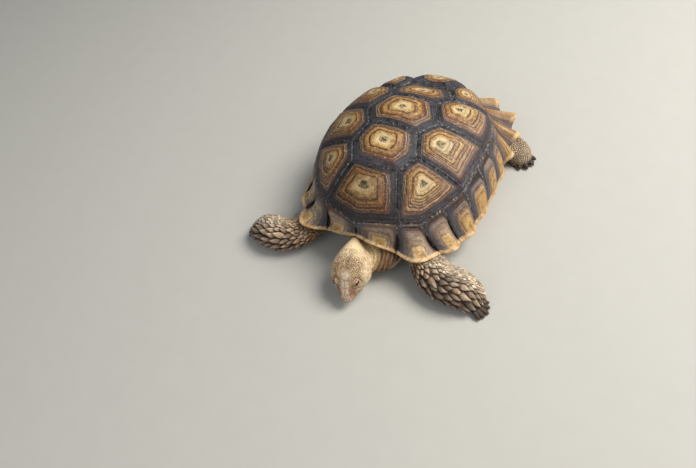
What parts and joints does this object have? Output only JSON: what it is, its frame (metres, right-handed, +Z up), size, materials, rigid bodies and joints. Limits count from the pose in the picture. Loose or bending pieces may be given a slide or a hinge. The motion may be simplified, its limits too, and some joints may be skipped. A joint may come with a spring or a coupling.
{
  "type": "sulcata tortoise",
  "caption": "Life-size still model of a sulcata tortoise resting on its plastron, forelegs splayed, head lowered and turned slightly to its left.",
  "frame": {"origin": "on the floor, at the flat of the plastron under the top of the shell", "axes": "+Z up, the head faces -Y, the animal's left side is +X"},
  "size_m": [0.45, 0.4978, 0.1793],
  "materials": {
    "carapace_scutes": "horn scutes with raised growth rings, golden brown centres and near-black seams, satin",
    "marginal_scutes": "horn edge scutes, tan lobes with dark seams and a pale worn rim, satin",
    "plastron": "pale horn plates with brown growth rings, worn matte",
    "head_skin": "fine granular scales over dry skin, matte",
    "beak": "horny jaw sheath, pale, satin",
    "body_skin": "loose folded skin, dry and matte",
    "leg_skin": "overlapping horny scales over dry skin, matte",
    "eye": "dark wet eye, glossy"
  },
  "bodies": {
    "root": {"vertebral_1": "carapace_scutes", "vertebral_2": "carapace_scutes", "vertebral_3": "carapace_scutes", "vertebral_4": "carapace_scutes", "vertebral_5": "carapace_scutes", "costal_left_1": "carapace_scutes", "costal_left_2": "carapace_scutes", "costal_left_3": "carapace_scutes", "costal_left_4": "carapace_scutes", "marginal_left_1": "marginal_scutes", "marginal_left_2": "marginal_scutes", "marginal_left_3": "marginal_scutes", "marginal_left_4": "marginal_scutes", "marginal_left_5": "marginal_scutes", "marginal_left_6": "marginal_scutes", "marginal_left_7": "marginal_scutes", "marginal_left_8": "marginal_scutes", "marginal_left_9": "marginal_scutes", "marginal_left_10": "marginal_scutes", "marginal_left_11": "marginal_scutes", "costal_right_1": "carapace_scutes", "costal_right_2": "carapace_scutes", "costal_right_3": "carapace_scutes", "costal_right_4": "carapace_scutes", "marginal_right_1": "marginal_scutes", "marginal_right_2": "marginal_scutes", "marginal_right_3": "marginal_scutes", "marginal_right_4": "marginal_scutes", "marginal_right_5": "marginal_scutes", "marginal_right_6": "marginal_scutes", "marginal_right_7": "marginal_scutes", "marginal_right_8": "marginal_scutes", "marginal_right_9": "marginal_scutes", "marginal_right_10": "marginal_scutes", "marginal_right_11": "marginal_scutes", "supracaudal": "marginal_scutes", "plastron": "plastron", "foreleg_left": "leg_skin", "foreleg_right": "leg_skin", "hindleg_left": "leg_skin", "hindleg_right": "leg_skin", "head": "head_skin", "lower_jaw": "beak", "eye_left": "eye", "eye_right": "eye", "neck": "body_skin", "tail": "body_skin", "trunk": "body_skin"}
  },
  "joints": []
}
